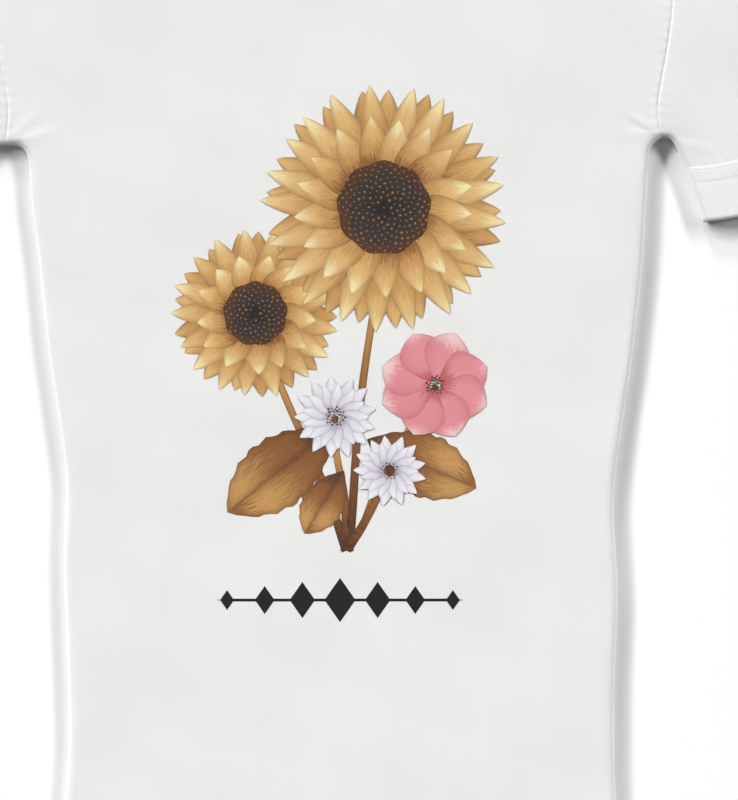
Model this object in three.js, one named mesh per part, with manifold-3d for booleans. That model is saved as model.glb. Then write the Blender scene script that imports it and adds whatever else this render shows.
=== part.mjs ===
// A white short-sleeved T-shirt laid flat on its back, front up, neck towards +Y.
// The cloth rolls down to the ground at each fold, so the body and the sleeves stay open tubes.
// Millimetres, +Z up. The origin is the middle of the ground that the shirt covers.
import * as THREE from "three";
import Module from "manifold-3d";
import { mergeVertices } from "three/addons/utils/BufferGeometryUtils.js";

// Cloth and its loft
const JERSEY = 0.8;
const TURNED_HEM = 1.6;
const RIB = 1.6;
const LOFT = 9.5;
const FOLD_REACH = 8;
const GAP = 0.3;
const BACK_CLEARANCE = 2.4;

// Body outline, measured from the hem's middle, as x and y
const RIGHT_SIDE = [
  [197, 0], [192, 45], [191.8, 115], [193.9, 175], [191.1, 240], [197.4, 297],
  [204, 341], [211.4, 409], [215.6, 478], [218, 490], [224.7, 495.6],
];
const LEFT_SIDE = [
  [-197, 0], [-193, 35], [-190.4, 88], [-193.9, 195], [-192.5, 255], [-199.5, 311],
  [-205.8, 354], [-211.4, 409], [-217, 452], [-219.5, 482], [-226, 489.5], [-235, 490],
];
const RIGHT_ARMHOLE = [[224.7, 495.6], [222, 518], [228.9, 560], [232.4, 591], [234, 650]];
const LEFT_ARMHOLE = [[-235, 490], [-233.1, 518], [-238.7, 553], [-243, 600], [-243, 648]];
const BODY_HEM_DEPTH = 20;

// Neck
const SHOULDER_HEIGHT = 700;
const NECK_HALF_WIDTH = 90;
const FRONT_NECK_DROP = 99;
const BACK_NECK_DROP = 20;
const RIB_WIDTH = 18;
const RIB_FOLD_RISE = 6;

// Sleeves
const SLEEVE_HEM_DEPTH = 40;
const HEM_BOW = 22;
const RIGHT_UNDERARM = [[224.7, 495.6], [231, 494.3], [236, 486.5], [244.3, 465.5], [254, 436]];
const LEFT_UNDERARM = [[-235, 490], [-246, 488.5], [-254, 481], [-261, 464], [-270, 440]];
const RIGHT_CUFF = [376, 488];
const LEFT_CUFF = [-376, 500];

// Neck tape and the blank woven label
const TAPE_WIDTH = 12;
const TAPE_HALF_LENGTH = 78;
const TAPE_THICKNESS = 0.6;
const LABEL = { width: 38, height: 24, thickness: 0.5, below: 3 };

// Print: ink film over the chest
const INK = 0.4;
const BLOOMS = [
  { x: 30, y: 446, radius: 88, petals: 21, notch: 0.16 },
  { x: -60, y: 372, radius: 60, petals: 17, notch: 0.16 },
  { x: 66, y: 322, radius: 40, petals: 8, notch: 0.12 },
  { x: -4, y: 300, radius: 30, petals: 13, notch: 0.14 },
  { x: 34, y: 262, radius: 26, petals: 13, notch: 0.14 },
];
const STEM_FOOT = { x: 4, y: 206 };
const STEM_WIDTH = 6;
const LEAVES = [
  { x: -4, y: 292, length: 96, width: 40, turn: 218 },
  { x: 18, y: 284, length: 84, width: 36, turn: 336 },
  { x: 2, y: 262, length: 52, width: 24, turn: 238 },
];
const RULE = { x: -0.7, y: 171.5, width: 172, bar: 2, diamonds: 7, diamond: 15.5 };

// Mesh fineness
const FOLD_STEPS = 3;
const SIDE_ROWS = 14;
const ARMHOLE_ROWS = 5;
const SHOULDER_COLUMNS = 3;
const NECK_COLUMNS = 12;
const SLEEVE_STATIONS = 6;
const SLEEVE_COLUMNS = 5;
const HEM_STATIONS = 2;
const HEM_COLUMNS = 10;
const LOWER_LAYER_COLUMNS = 6;
const TAPE_COLUMNS = 12;
const LABEL_COLUMNS = 2;
const INK_CURVE_STEPS = 6;

const point = ([x, y]) => new THREE.Vector2(x, y);
const spline = (list) => new THREE.SplineCurve(list.map(point));
const mix = (a, b, s) => a.clone().lerp(b, s);

// Curves are functions from 0 to 1
const along = (curve, from = 0, to = 1) => (s) => curve.getPointAt(from + (to - from) * s);
const straight = (a, b) => (s) => mix(a, b, s);

const rightSide = spline(RIGHT_SIDE);
const leftSide = spline(LEFT_SIDE);
const rightArmhole = spline(RIGHT_ARMHOLE);
const leftArmhole = spline(LEFT_ARMHOLE);
const rightTip = point(RIGHT_ARMHOLE.at(-1));
const leftTip = point(LEFT_ARMHOLE.at(-1));
const rightNeck = new THREE.Vector2(NECK_HALF_WIDTH, SHOULDER_HEIGHT);
const leftNeck = new THREE.Vector2(-NECK_HALF_WIDTH, SHOULDER_HEIGHT);
const ribFold = (neck) => new THREE.Vector2(
  neck.x - Math.sign(neck.x) * RIB_WIDTH, neck.y + RIB_FOLD_RISE);

// Every fold, with the cloth on its left as it is walked
const walk = (curve, steps, from = 0, to = 1) =>
  Array.from({ length: steps + 1 }, (_, i) => curve.getPointAt(from + ((to - from) * i) / steps));
const folds = [
  walk(leftSide, 60).reverse(),
  walk(rightSide, 60),
  walk(spline(RIGHT_UNDERARM), 16),
  walk(spline(LEFT_UNDERARM), 16).reverse(),
  [point(RIGHT_CUFF), rightTip, rightNeck, ribFold(rightNeck)],
  [ribFold(leftNeck), leftNeck, leftTip, point(LEFT_CUFF)],
];

function distanceToFold(p) {
  let nearest = Infinity;
  for (const fold of folds) {
    for (let i = 0; i + 1 < fold.length; i++) {
      const run = fold[i + 1].clone().sub(fold[i]);
      const s = THREE.MathUtils.clamp(p.clone().sub(fold[i]).dot(run) / run.lengthSq(), 0, 1);
      nearest = Math.min(nearest, p.distanceTo(fold[i].clone().addScaledVector(run, s)));
    }
  }
  return nearest;
}

// Share of the full loft that the cloth has reached at a distance from its fold
function climb(distance, reach) {
  const left = 1 - THREE.MathUtils.clamp(distance / reach, 0, 1);
  return Math.sqrt(1 - left * left);
}

const upperFace = (p) => LOFT * climb(distanceToFold(p), FOLD_REACH);
const INNER_FACE_EASE = 0.01;
const underUpperLayer = (thickness, floor) => (p) =>
  floor + (LOFT - thickness - floor)
    * climb(distanceToFold(p) - thickness - INNER_FACE_EASE, FOLD_REACH - thickness);

// Fractions of a length that crowd together beside a fold at either end
function fractions(length, middle, startFold, endFold) {
  const near = Array.from({ length: FOLD_STEPS }, (_, i) =>
    (FOLD_REACH / length) * (1 - Math.cos(((i / FOLD_STEPS) * Math.PI) / 2)));
  const first = startFold ? FOLD_REACH / length : 0;
  const last = endFold ? 1 - FOLD_REACH / length : 1;
  const list = startFold ? [...near] : [];
  for (let i = 0; i <= middle; i++) list.push(first + ((last - first) * i) / middle);
  if (endFold) list.push(...near.map((s) => 1 - s).reverse());
  return list;
}

// A patch of cloth between four curves
function patch(bottom, top, left, right) {
  const corner = [bottom(0), bottom(1), top(0), top(1)];
  return (u, v) => {
    const p = left(v).multiplyScalar(1 - u).addScaledVector(right(v), u);
    p.addScaledVector(bottom(u), 1 - v).addScaledVector(top(u), v);
    p.addScaledVector(corner[0], -(1 - u) * (1 - v)).addScaledVector(corner[1], -u * (1 - v));
    return p.addScaledVector(corner[2], -(1 - u) * v).addScaledVector(corner[3], -u * v);
  };
}

// The same curve a little way in from its fold, towards the cloth on its left
const HEADING_STEP = 0.002;
function inset(curve, distance) {
  return (s) => {
    const ahead = curve(Math.min(s + HEADING_STEP, 1));
    const run = ahead.sub(curve(Math.max(s - HEADING_STEP, 0))).normalize();
    return curve(s).add(new THREE.Vector2(-run.y, run.x).multiplyScalar(distance));
  };
}
const flip = (curve) => (s) => curve(1 - s);

// A curve whose two ends are drawn to new places and whose middle stays
const ENDS_ONLY = 14;
function drawn(curve, start, end) {
  const atStart = start.clone().sub(curve(0));
  const atEnd = end.clone().sub(curve(1));
  return (s) => {
    const p = curve(s).addScaledVector(atStart, (1 - s) ** ENDS_ONLY);
    return p.addScaledVector(atEnd, s ** ENDS_ONLY);
  };
}

// A curve cut back by the same distance at both ends
const trimmed = (curve, length, distance) => (s) =>
  curve((distance + s * (length - 2 * distance)) / length);

const lay = (p, z) => new THREE.Vector3(p.x, p.y, z);

// One closed body from an outer and an inner grid of points
function shell(outer, inner, closed) {
  const rows = outer.length;
  const columns = outer[0].length;
  const vertices = [...outer.flat(), ...inner.flat()];
  const at = (side, row, column) => side * rows * columns + row * columns + (column % columns);
  const index = [];
  const quad = (a, b, c, d) => index.push(a, b, c, a, c, d);
  const spans = closed ? columns : columns - 1;
  for (let r = 0; r + 1 < rows; r++) {
    for (let c = 0; c < spans; c++) {
      quad(at(0, r, c), at(0, r, c + 1), at(0, r + 1, c + 1), at(0, r + 1, c));
      quad(at(1, r, c), at(1, r + 1, c), at(1, r + 1, c + 1), at(1, r, c + 1));
    }
    if (!closed) {
      quad(at(0, r, 0), at(0, r + 1, 0), at(1, r + 1, 0), at(1, r, 0));
      quad(at(0, r + 1, spans), at(0, r, spans), at(1, r, spans), at(1, r + 1, spans));
    }
  }
  for (let c = 0; c < spans; c++) {
    quad(at(1, 0, c), at(1, 0, c + 1), at(0, 0, c + 1), at(0, 0, c));
    quad(at(0, rows - 1, c), at(0, rows - 1, c + 1), at(1, rows - 1, c + 1), at(1, rows - 1, c));
  }
  return facingOut(vertices, index);
}

function facingOut(vertices, index) {
  let volume = 0;
  for (let i = 0; i < index.length; i += 3) {
    const [a, b, c] = [vertices[index[i]], vertices[index[i + 1]], vertices[index[i + 2]]];
    volume += a.dot(b.clone().cross(c));
  }
  if (volume < 0) index.reverse();
  const geometry = new THREE.BufferGeometry().setFromPoints(vertices);
  geometry.setIndex(index);
  return geometry;
}

// Front and back panels, one side and armhole at each edge and the shoulders and neck on top
const neckCurve = (drop) => (s) => new THREE.Vector2(
  -NECK_HALF_WIDTH * Math.cos(Math.PI * s), SHOULDER_HEIGHT - drop * Math.sin(Math.PI * s));
const NECK_CURVE_LENGTH = 300;
const SHOULDER_SLOPE_ALLOWANCE = 1.07;
const SHOULDER_SHARE = 0.27;
const NECK_FOOT = 96;
const PIT_SHARE = 0.74;

// An edge with its notch at the armpit evened out, for the cloth well inside the edge
const NOTCH_SHARE = 0.07;
const EVENING_REACH = 0.09;
const evened = (edge) => (v) => {
  const reach = Math.min(EVENING_REACH, v, 1 - v);
  const steps = [-1, -0.75, -0.5, -0.25, 0, 0.25, 0.5, 0.75, 1];
  const sum = steps.reduce((total, k) => total.add(edge(v + k * reach)), new THREE.Vector2());
  return sum.divideScalar(steps.length);
};

function panelGrid(drop, move, height, us, vs) {
  const edge = (side, armhole, turn) => {
    const whole = along(side, (BODY_HEM_DEPTH + GAP) / side.getLength());
    const fold = turn > 0 ? inset(whole, move) : flip(inset(flip(whole), move));
    const hole = trimmed(along(armhole), armhole.getLength(), move);
    const run = drawn(fold, fold(0), hole(0));
    return (v) => (v <= PIT_SHARE ? run(v / PIT_SHARE) : hole((v - PIT_SHARE) / (1 - PIT_SHARE)));
  };
  const left = edge(leftSide, leftArmhole, -1);
  const right = edge(rightSide, rightArmhole, 1);
  const below = new THREE.Vector2(0, -move * SHOULDER_SLOPE_ALLOWANCE);
  const neck = drawn(neckCurve(drop), leftNeck.clone().add(below), rightNeck.clone().add(below));
  const top = (u) => {
    if (u < SHOULDER_SHARE) return mix(left(1), neck(0), u / SHOULDER_SHARE);
    if (u > 1 - SHOULDER_SHARE) return mix(right(1), neck(1), (1 - u) / SHOULDER_SHARE);
    return neck((u - SHOULDER_SHARE) / (1 - 2 * SHOULDER_SHARE));
  };
  const foot = (sign) => new THREE.Vector2(sign * NECK_FOOT, left(0).y);
  const bottom = (u) => {
    if (u < SHOULDER_SHARE) return mix(left(0), foot(-1), u / SHOULDER_SHARE);
    if (u > 1 - SHOULDER_SHARE) return mix(right(0), foot(1), (1 - u) / SHOULDER_SHARE);
    return mix(foot(-1), foot(1), (u - SHOULDER_SHARE) / (1 - 2 * SHOULDER_SHARE));
  };
  const cloth = patch(bottom, top, evened(left), evened(right));
  const beside = (u) => Math.exp(-((u / NOTCH_SHARE) ** 2));
  return vs.map((v) => us.map((u) => {
    const p = cloth(u, v);
    p.addScaledVector(left(v).sub(evened(left)(v)), beside(u));
    p.addScaledVector(right(v).sub(evened(right)(v)), beside(1 - u));
    return lay(p, height(p));
  }));
}

const SAME_PLACE = 1e-6;
function joined(...runs) {
  const list = runs.flat();
  return list.filter((s, i) => i === 0 || s - list[i - 1] > SAME_PLACE);
}

const sideRows = () =>
  fractions(rightSide.getLength(), SIDE_ROWS, false, true).map((s) => s * PIT_SHARE);

function frontPanel() {
  const shoulder = fractions(rightTip.distanceTo(rightNeck), SHOULDER_COLUMNS, true, true);
  const neck = fractions(NECK_CURVE_LENGTH, NECK_COLUMNS, true, true);
  const us = joined(
    shoulder.map((s) => s * SHOULDER_SHARE),
    neck.map((s) => SHOULDER_SHARE + s * (1 - 2 * SHOULDER_SHARE)),
    shoulder.map((s) => 1 - s * SHOULDER_SHARE).reverse());
  const hole = fractions(rightArmhole.getLength(), ARMHOLE_ROWS, true, true);
  const vs = joined(sideRows(), hole.map((s) => PIT_SHARE + s * (1 - PIT_SHARE)));
  return shell(
    panelGrid(FRONT_NECK_DROP, 0, upperFace, us, vs),
    panelGrid(FRONT_NECK_DROP, JERSEY, underUpperLayer(JERSEY, 0), us, vs));
}

function backPanel() {
  const evenly = (from, to, steps) =>
    Array.from({ length: steps + 1 }, (_, i) => from + ((to - from) * i) / steps);
  const us = joined(
    evenly(0, SHOULDER_SHARE, SHOULDER_COLUMNS),
    evenly(SHOULDER_SHARE, 1 - SHOULDER_SHARE, NECK_COLUMNS),
    evenly(1 - SHOULDER_SHARE, 1, SHOULDER_COLUMNS));
  const vs = joined(sideRows(), evenly(PIT_SHARE, 1, LOWER_LAYER_COLUMNS));
  return shell(
    panelGrid(BACK_NECK_DROP, BACK_CLEARANCE, () => JERSEY, us, vs),
    panelGrid(BACK_NECK_DROP, BACK_CLEARANCE, () => 0, us, vs));
}

// A flattened tube: the upper layer out from the first fold to the second, the lower layer back
function tube(near, far, firstFold, secondFold, thickness, stations, upper, lower) {
  const grid = (move, top, floor) => {
    const start = trimmed(near, near(0).distanceTo(near(1)), move);
    const end = trimmed(far, far(0).distanceTo(far(1)), move);
    const first = drawn(inset(firstFold, move), start(0), end(0));
    const second = drawn(flip(inset(flip(secondFold), move)), start(1), end(1));
    const cloth = patch(start, end, first, second);
    return Array.from({ length: stations + 1 }, (_, j) => {
      const v = j / stations;
      const loop = upper.map((u) => {
        const p = cloth(u, v);
        const atFold = u === 0 || u === 1;
        return lay(p, atFold ? floor : top(p));
      });
      for (let i = lower - 1; i > 0; i--) loop.push(lay(cloth(i / lower, v), floor));
      return loop;
    });
  };
  const inside = grid(thickness, underUpperLayer(thickness, thickness), thickness);
  return shell(grid(0, upperFace, 0), inside, true);
}

function bowed(a, b, bow) {
  const out = b.clone().sub(a).normalize();
  const middle = mix(a, b, 0.5).add(new THREE.Vector2(out.y, -out.x).multiplyScalar(bow));
  const curve = new THREE.QuadraticBezierCurve(a, middle, b);
  return (s) => curve.getPoint(s);
}

// Sleeves: one tube from the armhole to the hem's seam, and one for the turned hem
function sleeve(underarmPoints, cuffPoint, armhole, tip, away) {
  const underarm = spline(underarmPoints);
  const cuff = point(cuffPoint);
  const start = new THREE.Vector2(away * GAP, 0);
  const hemStart = 1 - SLEEVE_HEM_DEPTH / underarm.getLength();
  const hemTop = mix(cuff, tip, SLEEVE_HEM_DEPTH / cuff.distanceTo(tip));
  const mouthInner = underarm.getPointAt(1);
  const seamInner = underarm.getPointAt(hemStart);
  const step = mix(hemTop, cuff, GAP / SLEEVE_HEM_DEPTH);
  const upper = fractions(armhole.getLength(), SLEEVE_COLUMNS, true, true);
  const place = (curve) => (s) => curve(s).add(start);
  const bow = away * HEM_BOW;
  const around = (near, far, under, over, thickness, stations) => (away > 0
    ? tube(near, far, under, over, thickness, stations, upper, LOWER_LAYER_COLUMNS)
    : tube(flip(near), flip(far), over, under, thickness, stations, upper, LOWER_LAYER_COLUMNS));
  const underRun = (from, to) => {
    const first = underarm.getPointAt(from);
    return drawn(along(underarm, from, to), from === 0 ? first.add(start) : first,
      underarm.getPointAt(to));
  };
  const body = around(
    place(along(armhole)), bowed(seamInner, hemTop, bow), underRun(0, hemStart),
    straight(tip.clone().add(start), hemTop), JERSEY, SLEEVE_STATIONS);
  const seamStep = hemStart + GAP / underarm.getLength();
  const hem = around(
    bowed(underarm.getPointAt(seamStep), step, bow), bowed(mouthInner, cuff, bow),
    underRun(seamStep, 1), straight(step, cuff), TURNED_HEM, HEM_STATIONS);
  return { body, hem };
}

// The body's turned hem, one flattened ring
function bodyHem() {
  const side = (curve) => along(curve, 0, BODY_HEM_DEPTH / curve.getLength());
  const left = side(leftSide);
  const right = side(rightSide);
  const upper = fractions(2 * rightSide.getPointAt(0).x, HEM_COLUMNS, true, true);
  return tube(flip(straight(left(0), right(0))), flip(straight(left(1), right(1))),
    right, left, TURNED_HEM, HEM_STATIONS, upper, HEM_COLUMNS);
}

// The ribbed neckband, one flattened ring from its seam to its free edge
function neckRib() {
  const half = (fold, middleY) => (s) => new THREE.Vector2(
    -fold.x * Math.cos(Math.PI * s), fold.y - (fold.y - middleY) * Math.sin(Math.PI * s));
  const seam = new THREE.Vector2(NECK_HALF_WIDTH - GAP, SHOULDER_HEIGHT + GAP / 2);
  const free = ribFold(rightNeck);
  const band = (start, end) => (s, v) => mix(start(s), end(s), v);
  const front = band(
    half(seam, SHOULDER_HEIGHT - FRONT_NECK_DROP + GAP),
    half(free, SHOULDER_HEIGHT - FRONT_NECK_DROP + RIB_WIDTH));
  const back = band(
    half(seam, SHOULDER_HEIGHT - BACK_NECK_DROP + GAP),
    half(free, SHOULDER_HEIGHT - BACK_NECK_DROP + RIB_WIDTH));
  const around = fractions(NECK_CURVE_LENGTH, NECK_COLUMNS, true, true);
  const stations = [0, 0.5, 1];
  const grid = (trim, top, floor) => stations.map((v) => {
    const squeeze = (s) => trim + s * (1 - 2 * trim);
    const loop = around.map((s) => {
      const p = front(squeeze(s), v);
      return lay(p, s === 0 || s === 1 ? floor : Math.max(top(p), floor));
    });
    for (let i = NECK_COLUMNS - 1; i > 0; i--) {
      loop.push(lay(back(squeeze(i / NECK_COLUMNS), v), floor));
    }
    return loop;
  });
  const inside = grid(RIB / NECK_CURVE_LENGTH, underUpperLayer(RIB, RIB), RIB);
  return shell(grid(0, upperFace, 0), inside, true);
}

// A thin strip or panel on the ground side of the neck
function slab(lowerEdge, upperEdge, bottom, top, columns) {
  const grid = (z) => [0, 1].map((v) => Array.from({ length: columns + 1 }, (_, i) =>
    lay(mix(lowerEdge(i / columns), upperEdge(i / columns), v), z)));
  return shell(grid(top), grid(bottom));
}

const SEAM_ALLOWANCE = 1;
function neckTape() {
  const edge = (below) => (s) => {
    const x = (2 * s - 1) * TAPE_HALF_LENGTH;
    const sin = Math.sqrt(1 - (x / NECK_HALF_WIDTH) ** 2);
    return new THREE.Vector2(x, SHOULDER_HEIGHT - BACK_NECK_DROP * sin - below);
  };
  const bottom = JERSEY + GAP;
  return slab(edge(TAPE_WIDTH + SEAM_ALLOWANCE), edge(SEAM_ALLOWANCE), bottom,
    bottom + TAPE_THICKNESS, TAPE_COLUMNS);
}

function neckLabel() {
  const top = SHOULDER_HEIGHT - BACK_NECK_DROP - SEAM_ALLOWANCE - TAPE_WIDTH - LABEL.below;
  const corner = (x, y) => new THREE.Vector2((x * LABEL.width) / 2, y);
  const bottom = JERSEY + GAP;
  return slab(straight(corner(-1, top - LABEL.height), corner(1, top - LABEL.height)),
    straight(corner(-1, top), corner(1, top)), bottom, bottom + LABEL.thickness, LABEL_COLUMNS);
}

// Printed ink, as plates of one height joined into one film
const wasm = await Module();
wasm.setup();

function toSolid(geometry) {
  const bare = geometry.clone();
  bare.deleteAttribute("normal");
  bare.deleteAttribute("uv");
  const welded = mergeVertices(bare);
  return new wasm.Manifold(new wasm.Mesh({
    numProp: 3,
    vertProperties: new Float32Array(welded.attributes.position.array),
    triVerts: new Uint32Array(welded.index.array),
  }));
}

function toGeometry(solid) {
  const mesh = solid.getMesh();
  const geometry = new THREE.BufferGeometry();
  geometry.setAttribute("position", new THREE.BufferAttribute(mesh.vertProperties, 3));
  geometry.setIndex(new THREE.BufferAttribute(mesh.triVerts, 1));
  return geometry;
}

function plate(shape) {
  const cut = { depth: INK, bevelEnabled: false, curveSegments: INK_CURVE_STEPS };
  return new THREE.ExtrudeGeometry(shape, cut).translate(0, 0, LOFT + GAP);
}

const PETAL_POINTS = 6;
const TIP_POWER = 1.5;

function bloomShape({ x, y, radius, petals, notch }) {
  const points = Array.from({ length: petals * PETAL_POINTS }, (_, i) => {
    const turn = (i / (petals * PETAL_POINTS)) * 2 * Math.PI;
    const fromTip = Math.abs(((i % PETAL_POINTS) * 2) / PETAL_POINTS - 1);
    const reach = radius * (1 - notch * fromTip ** TIP_POWER);
    return new THREE.Vector2(x + reach * Math.cos(turn), y + reach * Math.sin(turn));
  });
  return new THREE.Shape(points);
}

const LEAF_BELLY = 0.45;
function leafShape({ x, y, length, width, turn }) {
  const place = (ahead, aside) => {
    const angle = THREE.MathUtils.degToRad(turn);
    return new THREE.Vector2(ahead, aside).rotateAround(new THREE.Vector2(), angle).add(
      new THREE.Vector2(x, y));
  };
  const shape = new THREE.Shape();
  const root = place(0, 0);
  const tip = place(length, 0);
  const left = place(length * LEAF_BELLY, width);
  const right = place(length * LEAF_BELLY, -width);
  shape.moveTo(root.x, root.y);
  shape.quadraticCurveTo(left.x, left.y, tip.x, tip.y);
  shape.quadraticCurveTo(right.x, right.y, root.x, root.y);
  return shape;
}

function stemShape({ x, y }) {
  const foot = new THREE.Vector2(STEM_FOOT.x, STEM_FOOT.y);
  const top = new THREE.Vector2(x, y);
  const across = top.clone().sub(foot).normalize();
  const side = new THREE.Vector2(-across.y, across.x).multiplyScalar(STEM_WIDTH / 2);
  return new THREE.Shape([
    foot.clone().sub(side), foot.clone().add(side), top.clone().add(side), top.clone().sub(side)]);
}

function film(shapes) {
  return toGeometry(shapes.map((shape) => toSolid(plate(shape))).reduce((a, b) => a.add(b)));
}

const printPicture = () => film([
  ...BLOOMS.map(bloomShape), ...BLOOMS.map(stemShape), ...LEAVES.map(leafShape)]);

const DIAMOND_TAPER = 0.55;
const DIAMOND_WIDTH = 0.7;
const END_INSET = 0.45;
function printRule() {
  const box = (halfWidth, halfHeight) => new THREE.Shape([
    new THREE.Vector2(RULE.x - halfWidth, RULE.y - halfHeight),
    new THREE.Vector2(RULE.x + halfWidth, RULE.y - halfHeight),
    new THREE.Vector2(RULE.x + halfWidth, RULE.y + halfHeight),
    new THREE.Vector2(RULE.x - halfWidth, RULE.y + halfHeight)]);
  const diamonds = Array.from({ length: RULE.diamonds }, (_, i) => {
    const middle = (RULE.diamonds - 1) / 2;
    const size = RULE.diamond * (1 - DIAMOND_TAPER * Math.abs(i - middle) / middle);
    const run = RULE.width - 2 * RULE.diamond * END_INSET;
    const x = RULE.x + ((i - middle) * run) / (2 * middle);
    return new THREE.Shape([
      new THREE.Vector2(x - size * DIAMOND_WIDTH, RULE.y), new THREE.Vector2(x, RULE.y - size),
      new THREE.Vector2(x + size * DIAMOND_WIDTH, RULE.y), new THREE.Vector2(x, RULE.y + size)]);
  });
  return film([box(RULE.width / 2, RULE.bar / 2), ...diamonds]);
}

const WHITE_JERSEY = new THREE.MeshStandardMaterial({ color: 0xeaeae8, roughness: 0.95, metalness: 0 });
const WHITE_RIB = new THREE.MeshStandardMaterial({ color: 0xe8e8e6, roughness: 0.95, metalness: 0 });
const LABEL_SATIN = new THREE.MeshStandardMaterial({ color: 0xf2f1ee, roughness: 0.6, metalness: 0 });
const GOLDEN_INK = new THREE.MeshStandardMaterial({ color: 0xb98a4a, roughness: 0.7, metalness: 0 });
const BLACK_INK = new THREE.MeshStandardMaterial({ color: 0x151515, roughness: 0.65, metalness: 0 });

const shirt = new THREE.Group();
const garment = new THREE.Group();
garment.position.y = -(SHOULDER_HEIGHT + RIB_FOLD_RISE) / 2;
shirt.add(garment);

function sew(name, geometry, material) {
  const mesh = new THREE.Mesh(geometry, material);
  mesh.name = name;
  garment.add(mesh);
}

const rightSleeve = sleeve(RIGHT_UNDERARM, RIGHT_CUFF, rightArmhole, rightTip, 1);
const leftSleeve = sleeve(LEFT_UNDERARM, LEFT_CUFF, leftArmhole, leftTip, -1);
sew("front_panel", frontPanel(), WHITE_JERSEY);
sew("back_panel", backPanel(), WHITE_JERSEY);
sew("body_hem", bodyHem(), WHITE_JERSEY);
sew("sleeve_right", rightSleeve.body, WHITE_JERSEY);
sew("sleeve_left", leftSleeve.body, WHITE_JERSEY);
sew("sleeve_hem_right", rightSleeve.hem, WHITE_JERSEY);
sew("sleeve_hem_left", leftSleeve.hem, WHITE_JERSEY);
sew("neck_rib", neckRib(), WHITE_RIB);
sew("neck_tape", neckTape(), WHITE_JERSEY);
sew("neck_label", neckLabel(), LABEL_SATIN);
sew("print_picture", printPicture(), GOLDEN_INK);
sew("print_rule", printRule(), BLACK_INK);

export default shirt;
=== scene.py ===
import math
import random

import bpy
import numpy as np
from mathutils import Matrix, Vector


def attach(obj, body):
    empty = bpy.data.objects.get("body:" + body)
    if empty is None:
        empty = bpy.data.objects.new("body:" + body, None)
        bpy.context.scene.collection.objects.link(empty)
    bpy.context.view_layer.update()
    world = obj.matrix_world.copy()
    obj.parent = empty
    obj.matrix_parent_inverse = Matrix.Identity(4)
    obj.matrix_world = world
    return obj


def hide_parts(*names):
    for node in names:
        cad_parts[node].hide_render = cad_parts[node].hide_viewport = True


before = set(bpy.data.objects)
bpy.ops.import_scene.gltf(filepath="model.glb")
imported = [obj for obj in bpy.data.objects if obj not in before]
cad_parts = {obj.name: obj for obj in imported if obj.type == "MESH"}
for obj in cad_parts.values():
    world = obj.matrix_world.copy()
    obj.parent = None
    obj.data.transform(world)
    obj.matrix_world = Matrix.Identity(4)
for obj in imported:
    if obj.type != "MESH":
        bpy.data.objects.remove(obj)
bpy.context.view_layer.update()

# Front panel
# One piece of cotton jersey, cut with the neck and the armholes, which rolls over at the sides
# and the shoulders to meet the back. Its foot is turned up inside and stitched.
MM = 0.001
HALF_LENGTH = 353 * MM
LOFT = 9.5 * MM
MIDDLE = LOFT / 2
FOLD_REACH = 4.6 * MM
JERSEY = 0.8 * MM
RIGHT_SIDE = [
    (197, 0), (192, 45), (191.8, 115), (193.9, 175), (191.1, 240), (197.4, 297),
    (204, 341), (211.4, 409), (215.6, 478), (218, 490), (224.7, 495.6),
]
LEFT_SIDE = [
    (-197, 0), (-193, 35), (-190.4, 88), (-193.9, 195), (-192.5, 255), (-199.5, 311),
    (-205.8, 354), (-211.4, 409), (-217, 452), (-219.5, 482), (-226, 489.5), (-235, 490),
]
RIGHT_ARMHOLE = [(224.7, 495.6), (222, 518), (228.9, 560), (232.4, 591), (234, 650)]
LEFT_ARMHOLE = [(-235, 490), (-233.1, 518), (-238.7, 553), (-243, 600), (-243, 648)]
RIGHT_UNDERARM = [(224.7, 495.6), (231, 494.3), (236, 486.5), (244.3, 465.5), (254, 436)]
LEFT_UNDERARM = [(-235, 490), (-246, 488.5), (-254, 481), (-261, 464), (-270, 440)]
RIGHT_CUFF = (376, 488)
LEFT_CUFF = (-376, 500)
SHOULDER_HEIGHT = 700
NECK_HALF_WIDTH = 90
FRONT_NECK_DROP = 99
BACK_NECK_DROP = 20
RIB_WIDTH = 18
RIB_FOLD_RISE = 6
BODY_HEM_DEPTH = 20 * MM
SLEEVE_HEM_DEPTH = 40 * MM
HEM_BOW = 22 * MM
BODY_HEM_ROWS = (14 * MM, 18.5 * MM)
SLEEVE_HEM_ROWS = (29 * MM, 38.5 * MM)
SHOULDER_SHARE = 0.27
PIT_SHARE = 0.74
NECK_FOOT = 96 * MM
NOTCH_SHARE = 0.07
EVENING_REACH = 0.09


def on_shirt(x, y):
    """A place on the pattern, from the middle of the hem, in millimetres."""
    return np.array([x * MM, y * MM - HALF_LENGTH])


class Line:
    """A smooth line through a pattern's few points, walked evenly from 0 to 1."""

    def __init__(self, points, steps=40):
        p = np.array([on_shirt(*q) for q in points])
        runs = []
        t = np.linspace(0, 1, steps, endpoint=False)[:, None]
        for i in range(len(p) - 1):
            a, b, c, d = p[max(i - 1, 0)], p[i], p[i + 1], p[min(i + 2, len(p) - 1)]
            start, end = (c - a) / 2, (d - b) / 2
            runs.append((2 * b - 2 * c + start + end) * t**3
                        + (3 * c - 3 * b - 2 * start - end) * t**2 + start * t + b)
        self.dense = np.vstack(runs + [p[-1:]])
        steps_taken = np.linalg.norm(np.diff(self.dense, axis=0), axis=1)
        self.walked = np.concatenate([[0], np.cumsum(steps_taken)])
        self.length = self.walked[-1]

    def at(self, s):
        s = np.asarray(s, float) * self.length
        return np.stack([np.interp(s, self.walked, self.dense[:, k]) for k in (0, 1)], -1)


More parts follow.
